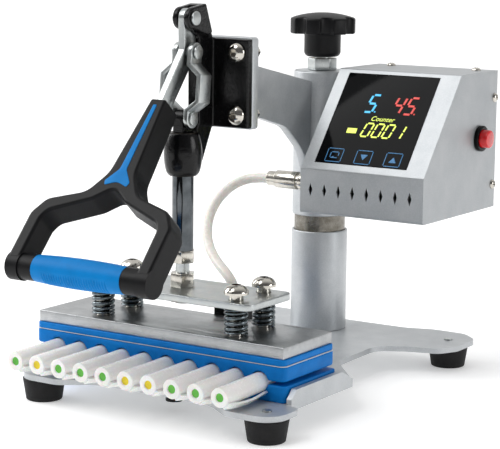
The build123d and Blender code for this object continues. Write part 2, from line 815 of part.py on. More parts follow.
def power_board():
    z0 = box_bottom + wall
    board = block(box_left + 10, box_right - 34, box_front + 14, box_rear - 30, z0 + 4, z0 + 5.6)
    for x in (box_left + 14, box_right - 38):
        for y in (box_front + 18, box_rear - 34):
            board += post(x, y, z0, z0 + 4, 2.5)
    return one(board)


def solid_state_relay():
    z0 = box_bottom + wall
    return one(block(box_right - 29, box_right - 7, box_front + 20, box_front + 64, z0, z0 + 20))


def power_inlet():
    y0 = box_rear
    shape = block(inlet_x - 14, inlet_x + 14, y0, y0 + 2.2, inlet_z - 11, inlet_z + 11)
    shape += block(inlet_x - 12, inlet_x + 12, y0 - 18, y0, inlet_z - 9, inlet_z + 9)
    shape -= block(inlet_x - 10, inlet_x + 10, y0 - 15, y0 + 3, inlet_z - 6.8, inlet_z + 6.8)
    for dx, dz in inlet_pin_places:
        shape -= block(inlet_x + dx - 1, inlet_x + dx + 1, y0 - 19, y0 - 14,
                       inlet_z + dz - 2, inlet_z + dz + 2)
    return one(shape)


inlet_pin_places = [(-7, -1.5), (0, 2.5), (7, -1.5)]


def inlet_pins():
    y0 = box_rear
    return group(*[block(inlet_x + dx - 1, inlet_x + dx + 1, y0 - 22, y0 - 6.5,
                         inlet_z + dz - 2, inlet_z + dz + 2) for dx, dz in inlet_pin_places])


rocker_y = box_rear - 1.5


def rocker_frame():
    shape = block(rocker_x - 8.5, rocker_x + 8.5, box_rear, box_rear + 2.0, inlet_z - 12, inlet_z + 12)
    shape += block(rocker_x - 7, rocker_x + 7, box_rear - 16, box_rear, inlet_z - 10, inlet_z + 10)
    return one(shape - axle(rocker_x - 5.6, rocker_x + 5.6, rocker_y, inlet_z, rocker_r + face_gap))


def power_rocker():
    paddle = axle(-5.3, 5.3, 0, 0, rocker_r)
    reach, hollow = 3.4, 12.0
    for side in (-1, 1):
        cut = Pos(0, 10, side * 10) * Box(20, 20, 20)
        paddle -= Pos(0, reach, 0) * Rot(-side * hollow, 0, 0) * cut
    return one(Pos(rocker_x, rocker_y, inlet_z) * Rot(rocker_tilt, 0, 0) * paddle)


def hose_gland():
    x1 = box_left
    tip = terminal_start[0]
    shape = axle(x1 - 4.5, x1, gland_y, gland_z, gland_r)
    shape += axle(x1 - 6.5, x1 - 4.5, gland_y, gland_z, gland_r - 1.2)
    shape += axle(tip + 6, x1 - 6.5, gland_y, gland_z, gland_r)
    shape += axle(tip, tip + 6, gland_y, gland_z, gland_r - 0.9)
    shape += axle(x1, x1 + 8, gland_y, gland_z, gland_r - 1.5)
    shape -= axle(tip - 1, tip + 9, gland_y, gland_z, hose_d / 2)
    return one(shape - axle(tip, x1 + 9, gland_y, gland_z, 2.2))


terminal_start = hose_points[0]


def heater_lead():
    """A sleeved lead of straight runs joined by tangent arcs."""
    first = (terminal_start[0] + 8.0, gland_y, gland_z)
    points = [Vector(*p) for p in [first] + hose_points[1:]]
    radii = []
    for before, corner, after in zip(points, points[1:], points[2:]):
        angle = radians((corner - before).get_angle(after - corner))
        radii.append(0.45 * min((corner - before).length, (after - corner).length) / tan(angle / 2))
    print("lead radii", [round(r, 1) for r in radii])
    path = FilletPolyline(*points, radius=radii)
    start = Plane(origin=path @ 0, z_dir=path % 0)
    tube = sweep(start * Circle(hose_d / 2), path=path)
    print("lead length", round(path.length, 1), "volume", round(tube.volume, 1),
          "expected", round(pi * (hose_d / 2) ** 2 * path.length, 1))
    return one(tube)


# ---- knob ----
def star_knob():
    lobes = 7
    valley_r = 5.2
    disc = post(0, 0, knob_bottom, knob_top, knob_r)
    for i in range(lobes):
        angle = 2 * pi * i / lobes
        reach = knob_r + 2.2
        disc -= post(reach * cos(angle), reach * sin(angle), knob_bottom - 1, knob_top + 1, valley_r)
    hub_bottom = nut_bottom + nut_t + face_gap + 0.6
    hub = post(0, 0, hub_bottom, hub_bottom + 2.0, hub_r - 1.6, hub_r)
    hub += post(0, 0, hub_bottom + 2.0, knob_bottom, hub_r)
    shape = disc + hub
    shape = shape & Pos(0, 0, knob_top - 62) * Sphere(62)
    return one(shape - post(0, 0, 180, knob_top - 4, stud_r + 2.5))


def knob_insert():
    z0 = nut_bottom + nut_t + face_gap + 0.6
    insert = post(0, 0, z0, knob_top - 4, stud_r + 2.5)
    return one(insert - post(0, 0, z0 - 1, knob_top - 8, stud_r + running_gap))


nodes = {
    "base_plate": base_plate, "rubber_feet": rubber_feet, "foot_screws": foot_screws,
    "column_tube": column_tube, "swivel_post": swivel_post, "column_bolt": column_bolt,
    "thrust_washer": thrust_washer, "clamp_stud": clamp_stud, "clamp_nut": clamp_nut,
    "lower_mould": lower_mould, "mould_fixing_bolt": mould_fixing_bolt,
    "upper_mould": upper_mould, "release_sheet": release_sheet, "silicone_pad": silicone_pad,
    "heater_plate": heater_plate, "heating_elements": heating_elements,
    "heater_terminal_cover": heater_terminal_cover, "float_bolts": float_bolts,
    "pressure_springs": pressure_springs, "pressure_bracket": pressure_bracket,
    "plunger_nuts": plunger_nuts, "plunger_stud": plunger_stud, "plunger_rod": plunger_rod,
    "plunger_eye": plunger_eye, "toggle_links": toggle_links, "link_rivets": link_rivets,
    "handle_bar": handle_bar, "knee_pin": knee_pin, "handle_yoke": handle_yoke,
    "handle_inlay": handle_inlay, "grip_rod": grip_rod, "handle_grip": handle_grip,
    "swing_sleeve": swing_sleeve, "sleeve_cap": sleeve_cap, "arm_flange": arm_flange,
    "swing_arm": swing_arm, "toggle_casting": toggle_casting, "guide_bush": guide_bush,
    "handle_pivot_pin": handle_pivot_pin, "flange_bolts": flange_bolts, "flange_nuts": flange_nuts,
    "control_housing": control_housing, "control_rear_cover": control_rear_cover,
    "cover_screws": cover_screws, "control_bracket": control_bracket, "bracket_screws": bracket_screws,
    "display_glass": display_glass, "display_board": display_board, 
    "button_bezel": button_bezel, "start_button": start_button, "power_board": power_board,
    "solid_state_relay": solid_state_relay, "power_inlet": power_inlet, "inlet_pins": inlet_pins,
    "rocker_frame": rocker_frame, "power_rocker": power_rocker, "hose_gland": hose_gland,
    "heater_lead": heater_lead, "star_knob": star_knob,
    "knob_insert": knob_insert,
}

shapes = {name: make() for name, make in nodes.items()}
whole = Compound(list(shapes.values())).bounding_box()
middle = Vector(-(whole.min.X + whole.max.X) / 2, -(whole.min.Y + whole.max.Y) / 2, -whole.min.Z)
print("nodes", len(shapes), "size", whole.size, "moved by", middle)
for name, shape in shapes.items():
    export_step(Pos(middle) * shape, f"parts/{name}.step")
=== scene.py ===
import bpy
import json
from math import atan2, cos, pi, radians, sin, sqrt
from mathutils import Matrix, Vector

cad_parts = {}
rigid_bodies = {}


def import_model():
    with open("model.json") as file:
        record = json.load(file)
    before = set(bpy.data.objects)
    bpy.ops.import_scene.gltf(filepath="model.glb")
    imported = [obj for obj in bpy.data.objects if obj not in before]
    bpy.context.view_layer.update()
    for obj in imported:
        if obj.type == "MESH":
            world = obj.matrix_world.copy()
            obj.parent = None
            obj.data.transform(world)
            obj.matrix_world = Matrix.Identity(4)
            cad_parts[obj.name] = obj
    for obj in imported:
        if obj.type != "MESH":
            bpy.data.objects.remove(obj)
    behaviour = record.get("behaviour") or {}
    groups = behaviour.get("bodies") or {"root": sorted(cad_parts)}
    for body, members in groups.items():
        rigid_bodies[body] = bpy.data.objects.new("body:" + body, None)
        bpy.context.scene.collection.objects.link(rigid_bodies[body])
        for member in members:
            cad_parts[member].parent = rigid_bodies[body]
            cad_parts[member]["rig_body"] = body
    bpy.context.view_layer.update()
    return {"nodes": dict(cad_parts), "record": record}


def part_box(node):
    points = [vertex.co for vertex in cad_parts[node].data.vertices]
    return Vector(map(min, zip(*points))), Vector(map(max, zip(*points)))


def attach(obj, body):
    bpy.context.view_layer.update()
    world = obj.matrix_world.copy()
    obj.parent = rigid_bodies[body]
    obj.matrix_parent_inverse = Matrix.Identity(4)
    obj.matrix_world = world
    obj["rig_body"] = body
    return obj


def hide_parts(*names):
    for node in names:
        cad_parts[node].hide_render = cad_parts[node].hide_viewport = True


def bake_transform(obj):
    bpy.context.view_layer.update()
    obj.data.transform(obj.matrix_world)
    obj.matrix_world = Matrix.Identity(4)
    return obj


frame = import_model()
nodes = frame["nodes"]
record = frame["record"]
slotOf = {part["node"]: part["material_slot"] for part in record["subparts"]}
columnLow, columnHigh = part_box("column_tube")
columnX = (columnLow[0] + columnHigh[0]) / 2
columnY = (columnLow[1] + columnHigh[1]) / 2
print("frame loaded:", len(nodes), "nodes")


def place(x, y, z):
    # millimetres from the column's axis on the table, to metres in the frame
    return Vector((columnX + x / 1000, columnY + y / 1000, z / 1000))


def hexColor(code):
    channels = [int(code[i:i + 2], 16) / 255 for i in (1, 3, 5)]
    linear = [c / 12.92 if c <= 0.04045 else ((c + 0.055) / 1.055) ** 2.4 for c in channels]
    return (*linear, 1.0)


def addNode(tree, kind, settings=None, links=None):
    node = tree.nodes.new("ShaderNode" + kind)
    for key, value in (settings or {}).items():
        if isinstance(key, int) or key in node.inputs:
            node.inputs[key].default_value = value
        else:
            setattr(node, key, value)
    for socket, source in (links or {}).items():
        tree.links.new(source, node.inputs[socket])
    return node


# finishes
def makeFinish(name, spec):
    material = bpy.data.materials.new(name)
    material.use_nodes = True
    tree = material.node_tree
    shader = tree.nodes["Principled BSDF"]
    for socket, value in spec.get("shader", {}).items():
        shader.inputs[socket].default_value = value
    spot = addNode(tree, "TexCoord").outputs["Object"]
    stretch = spec.get("stretch", (1, 1, 1))
    grainSpot = addNode(tree, "Mapping", {"Scale": stretch}, {"Vector": spot}).outputs[0]
    mottle = addNode(tree, "TexNoise", {"Scale": 1000 / spec["mottleMm"], "Detail": 5.0, "Roughness": 0.6},
                     {"Vector": spot}).outputs["Fac"]
    grain = addNode(tree, "TexNoise", {"Scale": 1000 / spec["grainMm"], "Detail": 3.0, "Roughness": 0.55},
                    {"Vector": grainSpot}).outputs["Fac"]
    ramp = addNode(tree, "ValToRGB", {}, {"Fac": mottle})
    ramp.color_ramp.elements[0].position = 0.32
    ramp.color_ramp.elements[1].position = 0.68
    ramp.color_ramp.elements[0].color = hexColor(spec["colors"][0])
    ramp.color_ramp.elements[1].color = hexColor(spec["colors"][1])
    color = ramp.outputs["Color"]
    if "grainColor" in spec:
        share = addNode(tree, "MapRange", {"From Min": 0.42, "From Max": 0.7, "To Max": spec["grainShare"]},
                        {"Value": grain}).outputs["Result"]
        mix = addNode(tree, "Mix", {"data_type": "RGBA", 7: hexColor(spec["grainColor"])},
                      {0: share, 6: color})
        color = mix.outputs[2]
    tree.links.new(color, shader.inputs["Base Color"])
    low, high = spec["rough"]
    rough = addNode(tree, "MapRange", {"From Min": 0.3, "From Max": 0.7, "To Min": low, "To Max": high},
                    {"Value": grain}).outputs["Result"]
    tree.links.new(rough, shader.inputs["Roughness"])
    bump = addNode(tree, "Bump", {"Strength": spec.get("bump", 0.3), "Distance": spec["grainMm"] * 0.0002},
                   {"Height": grain}).outputs["Normal"]
    tree.links.new(bump, shader.inputs["Normal"])
    return material


# each finish is named for what it is made of, and how its surface was made, or for the painted shade in its
# colour
finishSpecs = {
    # sprayed aluminium-flake paint on steel: pale, softly shining, faint cloudiness and orange peel
    "silver_paint": {"colors": ("#B3B7BA", "#C3C6C8"), "mottleMm": 16, "grainMm": 0.8, "rough": (0.32, 0.46),
                     "grainColor": "#D6D8DA", "grainShare": 0.35, "bump": 0.25,
                     "shader": {"Metallic": 0.5, "Coat Weight": 0.15, "Coat Roughness": 0.3}},
    # moulded black rubber, dull with a dusty bloom
    "black_rubber": {"colors": ("#0E0E0F", "#1A1A1B"), "mottleMm": 7, "grainMm": 0.5, "rough": (0.55, 0.75),
                     "bump": 0.35, "shader": {"Specular IOR Level": 0.3}},
    # bright zinc plate on pressed steel, a little blue and cloudy
    "zinc_steel": {"colors": ("#B4B9BA", "#C2C5C3"), "mottleMm": 6, "grainMm": 0.5, "rough": (0.26, 0.36),
                   "stretch": (1, 1, 0.3), "bump": 0.12, "shader": {"Metallic": 1.0}},
    # nickel-plated turned steel, mirror bright
    "nickel": {"colors": ("#B9B5AC", "#D0CCC4"), "mottleMm": 4, "grainMm": 0.6, "rough": (0.10, 0.2),
               "bump": 0.1, "shader": {"Metallic": 1.0}},
    # steel ground along one way, so it is faintly streaked
    "ground_steel": {"colors": ("#9A9B9B", "#B0B0AF"), "mottleMm": 5, "grainMm": 0.4, "rough": (0.25, 0.4),
                     "stretch": (0.1, 1, 1), "bump": 0.2, "shader": {"Metallic": 1.0}},
    # turned steel with old grease on it
    "oiled_steel": {"colors": ("#5E594F", "#8E8B84"), "mottleMm": 6, "grainMm": 0.8, "rough": (0.22, 0.42),
                    "stretch": (0.3, 0.3, 2), "bump": 0.3, "shader": {"Metallic": 0.9}},
    # sintered bronze, matt with oil in its pores
    "bronze": {"colors": ("#8A6A3A", "#A98549"), "mottleMm": 5, "grainMm": 0.6, "rough": (0.3, 0.45),
               "shader": {"Metallic": 1.0}},
    # cast silicone rubber, saturated blue, soft sheen
    "blue_silicone": {"colors": ("#0070C0", "#047DD0"), "mottleMm": 14, "grainMm": 0.8,
                      "rough": (0.42, 0.56), "bump": 0.15, "shader": {"Specular IOR Level": 0.14}},
    # glass cloth coated with slippery white plastic
    "release_cloth": {"colors": ("#D9D8D2", "#E8E7E2"), "mottleMm": 6, "grainMm": 0.8, "rough": (0.6, 0.8)},
    # cold-rolled plate brushed along its length
    "heater_steel": {"colors": ("#9FA2A4", "#B9BBBC"), "mottleMm": 12, "grainMm": 0.5, "rough": (0.26, 0.42),
                     "stretch": (0.06, 1, 1), "grainColor": "#D4D5D6", "grainShare": 0.4, "bump": 0.3,
                     "shader": {"Metallic": 1.0}},
    # oil-tempered spring wire with dark zinc
    "spring_steel": {"colors": ("#5C6468", "#848C90"), "mottleMm": 3, "grainMm": 0.5, "rough": (0.16, 0.28),
                     "shader": {"Metallic": 1.0}},
    # thick gloss enamel over a sand casting, so it is lumpy
    "black_enamel": {"colors": ("#070708", "#111112"), "mottleMm": 6, "grainMm": 2.2, "rough": (0.16, 0.28),
                     "bump": 0.6,
                     "shader": {"Specular IOR Level": 0.2, "Coat Weight": 0.12, "Coat Roughness": 0.1}},
    # glass-filled nylon moulded with a fine spark texture
    "black_plastic": {"colors": ("#0A0A0B", "#121214"), "mottleMm": 10, "grainMm": 0.45,
                      "rough": (0.34, 0.48), "bump": 0.3, "shader": {"Specular IOR Level": 0.18}},
    # the same nylon from a polished mould
    "black_gloss_plastic": {"colors": ("#040405", "#0A0A0B"), "mottleMm": 8, "grainMm": 0.6,
                            "rough": (0.1, 0.18), "bump": 0.1, "shader": {"Specular IOR Level": 0.12}},
    # overmoulded soft plastic, bright blue
    "blue_plastic": {"colors": ("#0078C0", "#0382CE"), "mottleMm": 12, "grainMm": 0.5, "rough": (0.34, 0.48),
                     "bump": 0.2, "shader": {"Specular IOR Level": 0.12}},
    # smoked acrylic, nearly black until the segments behind it light
    "dark_panel": {"colors": ("#050607", "#0A0B0D"), "mottleMm": 20, "grainMm": 1.5, "rough": (0.06, 0.1),
                   "bump": 0.03, "shader": {"Specular IOR Level": 0.06}},
    # green lacquer over glass and resin
    "circuit_board": {"colors": ("#0E5A2C", "#14713A"), "mottleMm": 6, "grainMm": 1.5, "rough": (0.35, 0.5)},
    # moulded ABS, slightly shiny
    "white_plastic": {"colors": ("#DDDDD8", "#E9E9E5"), "mottleMm": 9, "grainMm": 0.8, "rough": (0.35, 0.5)},
    # clear red acrylic cap over a lamp
    "red_plastic": {"colors": ("#C20D14", "#E2141B"), "mottleMm": 6, "grainMm": 1.0, "rough": (0.12, 0.2),
                    "shader": {"Coat Weight": 0.6, "Coat Roughness": 0.06, "Subsurface Weight": 0.15,
                               "Subsurface Scale": 0.002}},
    # braided lead in a milky silicone sleeve
    "white_sleeve": {"colors": ("#DAD8CF", "#ECEAE2"), "mottleMm": 3, "grainMm": 0.9, "rough": (0.3, 0.42),
                     "grainColor": "#F6F5F0", "grainShare": 0.5, "bump": 0.3,
                     "shader": {"Subsurface Weight": 0.35, "Subsurface Scale": 0.003}},
    # hard chrome over a ground rod, its colour painted dark: painted reflection of the dim surroundings the
    # mirror-bright rod shows
    "shade_darkened_chrome": {"colors": ("#474B4E", "#63676A"), "mottleMm": 8, "grainMm": 0.5, "rough": (0.08, 0.16),
                    "stretch": (1, 1, 0.2), "bump": 0.08, "shader": {"Metallic": 1.0}},
    # the silver paint on folded sheet, with a thinner, slightly duller coat; its colour is darkened as
    # painted shade for the housing's dimly lit faces
    "shade_darkened_silver_paint": {"colors": ("#A3A7AA", "#AFB2B4"), "mottleMm": 16, "grainMm": 0.8,
                          "rough": (0.34, 0.48), "grainColor": "#C4C6C8", "grainShare": 0.35, "bump": 0.25,
                          "shader": {"Metallic": 0.55, "Coat Weight": 0.1, "Coat Roughness": 0.3}},
    # bronze gone brown with old oil
    "oiled_bronze": {"colors": ("#1E1914", "#2C241B"), "mottleMm": 4, "grainMm": 0.6, "rough": (0.3, 0.45),
                     "shader": {"Metallic": 0.6}},
    # drawn brass pins
    "brass_metal": {"colors": ("#B08D45", "#CBA75B"), "mottleMm": 4, "grainMm": 0.5, "rough": (0.22, 0.35),
                    "shader": {"Metallic": 1.0}},
}
finishes = {name: makeFinish(name, spec) for name, spec in finishSpecs.items()}
# pieces whose surface differs from the rest of their slot; the colours given to the rod and the housing are
# darkened as painted shade
# the rod's and the housing's own finishes carry painted shade: their colours are darkened copies of bright
# finishes
ownFinish = {"plunger_rod": "shade_darkened_chrome", "guide_bush": "oiled_bronze",
             "control_housing": "shade_darkened_silver_paint"}
finishOf = {name: finishes[slot] for name, slot in slotOf.items()}
finishOf.update({name: finishes[finish] for name, finish in ownFinish.items()})
for name, node in nodes.items():
    node.data.materials.clear()
    node.data.materials.append(finishOf[name])
print("finishes made:", len(finishes))


# working with pieces
def selectOnly(*pieces):
    bpy.ops.object.select_all(action="DESELECT")
    for piece in pieces:
        piece.select_set(True)
    bpy.context.view_layer.objects.active = pieces[0]


def newest(name):
    piece = bpy.context.active_object
    piece.name = name
    return piece


def settle(piece):
    selectOnly(piece)
    bpy.ops.object.transform_apply(location=True, rotation=True, scale=True)


def applyAll(piece):
    selectOnly(piece)
    for modifier in list(piece.modifiers):
        bpy.ops.object.modifier_apply(modifier=modifier.name)


def smooth(piece, angle=35):
    selectOnly(piece)
    bpy.ops.object.shade_smooth_by_angle(angle=radians(angle))


def dress(piece, body, slotName, finish=None):
    piece.data.materials.clear()
    piece.data.materials.append(finish or finishes[slotName])
    if body:
        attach(piece, body)
    return piece


def joinPieces(pieces, name):
    selectOnly(*pieces)
    bpy.ops.object.join()
    return newest(name)


# the width in millimetres to which each node's sharp edges are rounded over
roundedEdges = {
    "rubber_feet": 0.8, "column_tube": 0.7, "swing_sleeve": 0.9, "lower_mould": 0.7,
    "upper_mould": 1.2, "silicone_pad": 0.6, "heater_plate": 0.5, "pressure_bracket": 0.5,
    "handle_inlay": 0.3, "handle_bar": 0.5, "toggle_links": 0.45,
    "plunger_nuts": 0.35, "clamp_nut": 0.5, "arm_flange": 0.8, "swing_arm": 0.7, "star_knob": 1.0,
    "button_bezel": 0.5, "start_button": 0.8, "hose_gland": 0.3,
    "flange_nuts": 0.3, "heater_terminal_cover": 0.6, "power_inlet": 0.4, "rocker_frame": 0.4,
    "power_rocker": 0.3, "control_rear_cover": 0.2, "handle_pivot_pin": 0.5, "knee_pin": 0.5,
    "link_rivets": 0.5, "guide_bush": 0.3, "swivel_post": 0.5, "sleeve_cap": 0.4, "display_glass": 0.2,
}
edgeShape = {"segments": 3, "sharperThanDeg": 38, "smoothDeg": 40}


def roundEdges(nodeName, widthMm):
    node = nodes[nodeName]
    words = nodeName.split("_")
    piece = bpy.data.objects.new("rounded" + "".join(word.capitalize() for word in words), node.data.copy())
    bpy.context.scene.collection.objects.link(piece)
    selectOnly(piece)
    bpy.ops.object.mode_set(mode="EDIT")
    bpy.ops.mesh.select_all(action="SELECT")
    bpy.ops.mesh.customdata_custom_splitnormals_clear()
    bpy.ops.mesh.remove_doubles(threshold=0.000002)
    bpy.ops.mesh.dissolve_limited(angle_limit=radians(0.6))
    bpy.ops.object.mode_set(mode="OBJECT")
    bevel = piece.modifiers.new("edge", "BEVEL")
    bevel.width = widthMm / 1000
    bevel.segments = edgeShape["segments"]
    bevel.limit_method = "ANGLE"
    bevel.angle_limit = radians(edgeShape["sharperThanDeg"])
    bevel.use_clamp_overlap = False
    bevel.miter_outer = "MITER_ARC"
    applyAll(piece)
    smooth(piece, edgeShape["smoothDeg"])
    dress(piece, node["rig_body"], slotOf[nodeName], finishOf[nodeName])
    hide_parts(nodeName)
    return piece


for nodeName, widthMm in roundedEdges.items():
    roundEdges(nodeName, widthMm)
print("edges rounded:", len(roundedEdges))

# toggle casting
# the sand-cast skin has no sharp edges: a fine voxel skin, relaxed, with a thick coat of enamel
casting = {"voxelMm": 0.5, "relax": 5}
castingPiece = bpy.data.objects.new("toggleCastingSkin", nodes["toggle_casting"].data.copy())
bpy.context.scene.collection.objects.link(castingPiece)
selectOnly(castingPiece)
bpy.ops.object.mode_set(mode="EDIT")
bpy.ops.mesh.select_all(action="SELECT")
bpy.ops.mesh.customdata_custom_splitnormals_clear()
bpy.ops.mesh.remove_doubles(threshold=0.000002)
bpy.ops.object.mode_set(mode="OBJECT")
skin = castingPiece.modifiers.new("skin", "REMESH")
skin.mode = "VOXEL"
skin.voxel_size = casting["voxelMm"] / 1000
skin.use_smooth_shade = True
relax = castingPiece.modifiers.new("relax", "SMOOTH")
relax.factor = 0.5
relax.iterations = casting["relax"]
applyAll(castingPiece)
smooth(castingPiece, 60)
dress(castingPiece, "head", "black_enamel")
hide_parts("toggle_casting")
print("casting skinned:", len(castingPiece.data.polygons), "faces")

# pressure springs
springs = {"coilMm": 5.95, "wireMm": 0.88, "turns": 6, "spread": 0.4, "acrossMm": 46.5, "deepMm": 14.0,
           "axisY": -151.0}
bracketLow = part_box("pressure_bracket")[0][2]
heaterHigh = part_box("heater_plate")[1][2]
wire = springs["wireMm"] / 1000
rise = bracketLow - heaterHigh - 2 * wire
bpy.ops.object.select_all(action="DESELECT")
bpy.ops.mesh.primitive_circle_add(vertices=14, radius=wire, location=(springs["coilMm"] / 1000, 0, 0),
                                  rotation=(pi / 2, 0, 0))
firstSpring = newest("pressureSpring")
settle(firstSpring)
coil = firstSpring.modifiers.new("coil", "SCREW")
coil.screw_offset = rise / springs["turns"]
coil.iterations = springs["turns"]
coil.steps = coil.render_steps = 36
coil.use_merge_vertices = False
applyAll(firstSpring)
bpy.ops.object.mode_set(mode="EDIT")
bpy.ops.mesh.select_all(action="SELECT")
bpy.ops.mesh.fill_holes(sides=0)
bpy.ops.mesh.normals_make_consistent(inside=False)
bpy.ops.object.mode_set(mode="OBJECT")
for corner in firstSpring.data.vertices:
    share = min(max(corner.co.z / rise, 0), 1)
    corner.co.z += wire + heaterHigh - springs["spread"] * rise * sin(2 * pi * share) / (2 * pi)
smooth(firstSpring, 60)
springPieces = []
for side in (-1, 1):
    for end in (-1, 1):
        spring = firstSpring.copy()
        spring.data = firstSpring.data.copy()
        bpy.context.scene.collection.objects.link(spring)
        spring.name = f"pressureSpring{len(springPieces) + 1}"
        middle = place(side * springs["acrossMm"], springs["axisY"] + end * springs["deepMm"], 0)
        spring.data.transform(Matrix.Translation(middle))
        dress(spring, None, "spring_steel")
        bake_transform(spring)
        springPieces.append(spring)
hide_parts("pressure_springs")
bpy.data.objects.remove(firstSpring)
print("springs wound")

# heater lead
lead = {"diameterMm": 6.0,
        "route": [(1.0, -49.0, 117.4), (-17.5, -49.0, 117.4), (-28.5, -55.5, 113.2), (-33.5, -66.0, 104.8),
                  (-33.0, -77.0, 94.8), (-27.0, -88.0, 85.2), (-17.0, -98.5, 78.0), (-4.5, -107.5, 72.2),
                  (6.5, -114.0, 68.0), (13.5, -117.0, 61.5), (13.5, -117.0, 51.0)]}
leadCurve = bpy.data.curves.new("heaterLead", "CURVE")
leadCurve.dimensions = "3D"
leadCurve.bevel_depth = lead["diameterMm"] / 2000
leadCurve.bevel_resolution = 6
leadCurve.resolution_u = 10
leadCurve.use_fill_caps = True
line = leadCurve.splines.new("NURBS")
line.points.add(len(lead["route"]) - 1)
for point, spot in zip(line.points, lead["route"]):
    point.co = (*place(*spot), 1.0)
line.order_u = 3
line.use_endpoint_u = True
leadPiece = bpy.data.objects.new("heaterLead", leadCurve)
bpy.context.scene.collection.objects.link(leadPiece)
selectOnly(leadPiece)
bpy.ops.object.convert(target="MESH")
leadPiece = newest("heaterLead")
smooth(leadPiece, 60)
dress(leadPiece, None, "white_sleeve")
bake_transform(leadPiece)
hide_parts("heater_lead")
print("heater lead laid")

# grip
grip = {"halfMm": 29.8, "endMm": 7.4, "middleMm": 8.3, "rings": 230, "around": 96, "ribMm": 0.5,
        "ribPitchMm": 1.7, "ribHalfMm": 22.0, "ribSinkMm": 0.35, "ribAim": -128, "ribSpread": 52,
        "ribFade": 12}
gripLow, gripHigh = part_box("handle_grip")
gripMiddle = (Vector(gripLow) + Vector(gripHigh)) / 2
bpy.ops.object.select_all(action="DESELECT")
bpy.ops.mesh.primitive_grid_add(x_subdivisions=grip["rings"], y_subdivisions=grip["around"], size=2)
gripPiece = newest("ribbedGrip")
for corner in gripPiece.data.vertices:
    along = corner.co.x
    turn = pi * corner.co.y
    radius = grip["middleMm"] - (grip["middleMm"] - grip["endMm"]) * along * along
    alongMm = along * grip["halfMm"]
    off = abs((turn * 180 / pi - grip["ribAim"] + 180) % 360 - 180)
    if off < grip["ribSpread"] and abs(alongMm) < grip["ribHalfMm"]:
        edge = min(grip["ribSpread"] - off, grip["ribFade"]) / grip["ribFade"]
        crest = 0.5 + 0.5 * cos(2 * pi * alongMm / grip["ribPitchMm"])
        radius += edge * (grip["ribMm"] * crest - grip["ribSinkMm"])
    corner.co = gripMiddle + Vector((alongMm, radius * cos(turn), radius * sin(turn))) / 1000
selectOnly(gripPiece)
bpy.ops.object.mode_set(mode="EDIT")
bpy.ops.mesh.select_all(action="SELECT")
bpy.ops.mesh.remove_doubles(threshold=0.00001)
bpy.ops.mesh.fill_holes(sides=0)
bpy.ops.mesh.normals_make_consistent(inside=False)
bpy.ops.object.mode_set(mode="OBJECT")
settle(gripPiece)
smooth(gripPiece, 60)
dress(gripPiece, "handle", "blue_plastic")
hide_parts("handle_grip")
print("grip ribbed")

# pen barrels lying in the moulds
pens = {"radiusMm": 5.45, "frontY": -216.0, "lengthMm": 91.0, "pitchMm": 15.6, "leanDeg": 1.1,
        "hingeY": -150.0, "dotMm": 2.5, "sinkMm": 0.7, "edgeMm": 0.9, "clipMm": 37.0, "clipWideMm": 5.0,
        "clipThickMm": 1.2, "clipTurnDeg": 42, "clipBowMm": 1.6, "clipDropMm": 1.4, "dots": "GYGGGYYGGG"}
mouldGap = (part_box("lower_mould")[1][2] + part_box("upper_mould")[0][2]) / 2
penSpecs = {
    "penBarrel": {"colors": ("#F3F2EE", "#FAF9F6"), "mottleMm": 12, "grainMm": 1.2, "rough": (0.2, 0.3),
                  "bump": 0.05, "shader": {"Subsurface Weight": 0.25, "Subsurface Scale": 0.004,
                                           "Coat Weight": 0.3, "Coat Roughness": 0.1}},
    "greenPlug": {"colors": ("#4FAE2E", "#66C23C"), "mottleMm": 5, "grainMm": 0.6, "rough": (0.3, 0.4)},
    "yellowPlug": {"colors": ("#E6CB00", "#F2DC1A"), "mottleMm": 5, "grainMm": 0.6, "rough": (0.3, 0.4)},
}
penFinishes = {name: makeFinish(name, spec) for name, spec in penSpecs.items()}


